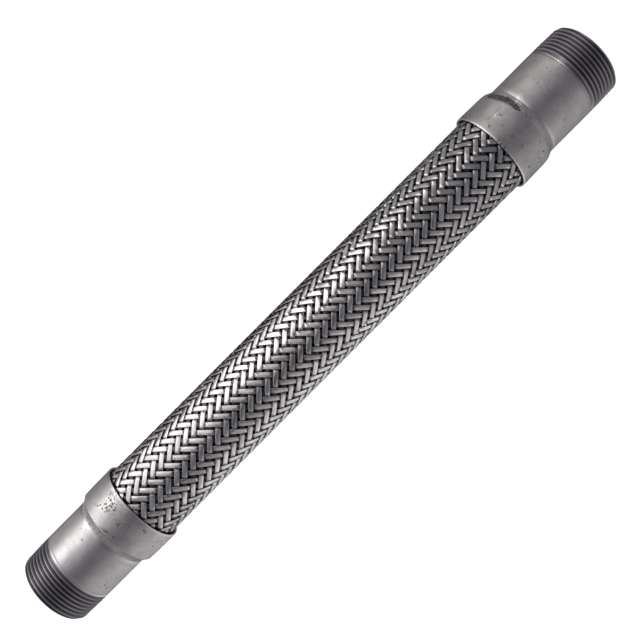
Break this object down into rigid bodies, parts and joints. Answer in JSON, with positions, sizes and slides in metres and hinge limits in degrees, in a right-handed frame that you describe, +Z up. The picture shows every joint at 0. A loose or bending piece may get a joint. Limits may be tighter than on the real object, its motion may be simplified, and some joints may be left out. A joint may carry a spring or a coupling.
{
  "type": "braided metal hose connector",
  "caption": "Flexible braided metal hose connector with a male taper pipe-thread nipple welded to a braid collar at each end; bends sideways.",
  "frame": {"origin": "on the axis of the hose, halfway between the two threaded end faces", "axes": "+X along the hose from end A to end B; +Z up as the connector lies on a surface; +Y completes the right-handed frame"},
  "size_m": [0.381, 0.047, 0.0468],
  "materials": {
    "nipple": "satin, machine turned, with darker oiled threads and small pits",
    "weld": "ground weld bead, darker and streaked",
    "collar": "dull blasted stainless steel with scattered pits",
    "braid": "bright drawn stainless wire, woven",
    "hose": "smooth formed stainless sheet"
  },
  "bodies": {
    "end_a": {"nipple_a": "nipple", "weld_a": "weld", "collar_a": "collar", "cap_weld_a": "weld", "braid_end_a": "braid", "hose_cuff_a": "hose"},
    "link_01": {"braid_01": "braid", "hose_01": "hose"},
    "link_02": {"braid_02": "braid", "hose_02": "hose"},
    "link_03": {"braid_03": "braid", "hose_03": "hose"},
    "link_04": {"braid_04": "braid", "hose_04": "hose"},
    "link_05": {"braid_05": "braid", "hose_05": "hose"},
    "link_06": {"braid_06": "braid", "hose_06": "hose"},
    "link_07": {"braid_07": "braid", "hose_07": "hose"},
    "link_08": {"braid_08": "braid", "hose_08": "hose"},
    "link_09": {"braid_09": "braid", "hose_09": "hose"},
    "link_10": {"braid_10": "braid", "hose_10": "hose"},
    "link_11": {"braid_11": "braid", "hose_11": "hose"},
    "link_12": {"braid_12": "braid", "hose_12": "hose"},
    "link_13": {"braid_13": "braid", "hose_13": "hose"},
    "link_14": {"braid_14": "braid", "hose_14": "hose"},
    "link_15": {"braid_15": "braid", "hose_15": "hose"},
    "link_16": {"braid_16": "braid", "hose_16": "hose"},
    "link_17": {"braid_17": "braid", "hose_17": "hose"},
    "link_18": {"braid_18": "braid", "hose_18": "hose"},
    "link_19": {"braid_19": "braid", "hose_19": "hose"},
    "end_b": {"nipple_b": "nipple", "weld_b": "weld", "collar_b": "collar", "cap_weld_b": "weld", "braid_end_b": "braid", "hose_cuff_b": "hose"}
  },
  "joints": [
    {"name": "bend_y_near", "type": "hinge", "parent": "end_a", "child": "link_01", "pos_m": [-0.12028, 0, 0], "axis": [0, 1, 0], "range_deg": [-5, 5], "stiffness_Nm_per_rad": 180},
    {"name": "bend_z_near", "type": "hinge", "parent": "link_01", "child": "link_02", "pos_m": [-0.10783, 0, 0], "axis": [0, 0, 1], "range_deg": [-5, 5], "stiffness_Nm_per_rad": 180},
    {"name": "bend_y_03", "type": "hinge", "parent": "link_02", "child": "link_03", "pos_m": [-0.09538, 0, 0], "axis": [0, 1, 0], "range_deg": [-5, 5], "stiffness_Nm_per_rad": 180},
    {"name": "bend_z_04", "type": "hinge", "parent": "link_03", "child": "link_04", "pos_m": [-0.08292, 0, 0], "axis": [0, 0, 1], "range_deg": [-5, 5], "stiffness_Nm_per_rad": 180},
    {"name": "bend_y_05", "type": "hinge", "parent": "link_04", "child": "link_05", "pos_m": [-0.07047, 0, 0], "axis": [0, 1, 0], "range_deg": [-5, 5], "stiffness_Nm_per_rad": 180},
    {"name": "bend_z_06", "type": "hinge", "parent": "link_05", "child": "link_06", "pos_m": [-0.05803, 0, 0], "axis": [0, 0, 1], "range_deg": [-5, 5], "stiffness_Nm_per_rad": 180},
    {"name": "bend_y_07", "type": "hinge", "parent": "link_06", "child": "link_07", "pos_m": [-0.04557, 0, 0], "axis": [0, 1, 0], "range_deg": [-5, 5], "stiffness_Nm_per_rad": 180},
    {"name": "bend_z_08", "type": "hinge", "parent": "link_07", "child": "link_08", "pos_m": [-0.03313, 0, 0], "axis": [0, 0, 1], "range_deg": [-5, 5], "stiffness_Nm_per_rad": 180},
    {"name": "bend_y_09", "type": "hinge", "parent": "link_08", "child": "link_09", "pos_m": [-0.02067, 0, 0], "axis": [0, 1, 0], "range_deg": [-5, 5], "stiffness_Nm_per_rad": 180},
    {"name": "bend_z_10", "type": "hinge", "parent": "link_09", "child": "link_10", "pos_m": [-0.00822, 0, 0], "axis": [0, 0, 1], "range_deg": [-5, 5], "stiffness_Nm_per_rad": 180},
    {"name": "bend_y_far", "type": "hinge", "parent": "link_10", "child": "link_11", "pos_m": [0.00422, 0, 0], "axis": [0, 1, 0], "range_deg": [-5, 5], "stiffness_Nm_per_rad": 180},
    {"name": "bend_z_far", "type": "hinge", "parent": "link_11", "child": "link_12", "pos_m": [0.01667, 0, 0], "axis": [0, 0, 1], "range_deg": [-5, 5], "stiffness_Nm_per_rad": 180},
    {"name": "bend_y_13", "type": "hinge", "parent": "link_12", "child": "link_13", "pos_m": [0.02913, 0, 0], "axis": [0, 1, 0], "range_deg": [-5, 5], "stiffness_Nm_per_rad": 180},
    {"name": "bend_z_14", "type": "hinge", "parent": "link_13", "child": "link_14", "pos_m": [0.04158, 0, 0], "axis": [0, 0, 1], "range_deg": [-5, 5], "stiffness_Nm_per_rad": 180},
    {"name": "bend_y_15", "type": "hinge", "parent": "link_14", "child": "link_15", "pos_m": [0.05402, 0, 0], "axis": [0, 1, 0], "range_deg": [-5, 5], "stiffness_Nm_per_rad": 180},
    {"name": "bend_z_16", "type": "hinge", "parent": "link_15", "child": "link_16", "pos_m": [0.06648, 0, 0], "axis": [0, 0, 1], "range_deg": [-5, 5], "stiffness_Nm_per_rad": 180},
    {"name": "bend_y_17", "type": "hinge", "parent": "link_16", "child": "link_17", "pos_m": [0.07892, 0, 0], "axis": [0, 1, 0], "range_deg": [-5, 5], "stiffness_Nm_per_rad": 180},
    {"name": "bend_z_18", "type": "hinge", "parent": "link_17", "child": "link_18", "pos_m": [0.09137, 0, 0], "axis": [0, 0, 1], "range_deg": [-5, 5], "stiffness_Nm_per_rad": 180},
    {"name": "bend_y_19", "type": "hinge", "parent": "link_18", "child": "link_19", "pos_m": [0.10383, 0, 0], "axis": [0, 1, 0], "range_deg": [-5, 5], "stiffness_Nm_per_rad": 180},
    {"name": "bend_z_20", "type": "hinge", "parent": "link_19", "child": "end_b", "pos_m": [0.11628, 0, 0], "axis": [0, 0, 1], "range_deg": [-5, 5], "stiffness_Nm_per_rad": 180}
  ],
  "couplings": [
    {"joint": "bend_y_03", "follows": "bend_y_near", "ratio": 1},
    {"joint": "bend_z_04", "follows": "bend_z_near", "ratio": 1},
    {"joint": "bend_y_05", "follows": "bend_y_near", "ratio": 1},
    {"joint": "bend_z_06", "follows": "bend_z_near", "ratio": 1},
    {"joint": "bend_y_07", "follows": "bend_y_near", "ratio": 1},
    {"joint": "bend_z_08", "follows": "bend_z_near", "ratio": 1},
    {"joint": "bend_y_09", "follows": "bend_y_near", "ratio": 1},
    {"joint": "bend_z_10", "follows": "bend_z_near", "ratio": 1},
    {"joint": "bend_y_13", "follows": "bend_y_far", "ratio": 1},
    {"joint": "bend_z_14", "follows": "bend_z_far", "ratio": 1},
    {"joint": "bend_y_15", "follows": "bend_y_far", "ratio": 1},
    {"joint": "bend_z_16", "follows": "bend_z_far", "ratio": 1},
    {"joint": "bend_y_17", "follows": "bend_y_far", "ratio": 1},
    {"joint": "bend_z_18", "follows": "bend_z_far", "ratio": 1},
    {"joint": "bend_y_19", "follows": "bend_y_far", "ratio": 1},
    {"joint": "bend_z_20", "follows": "bend_z_far", "ratio": 1}
  ]
}
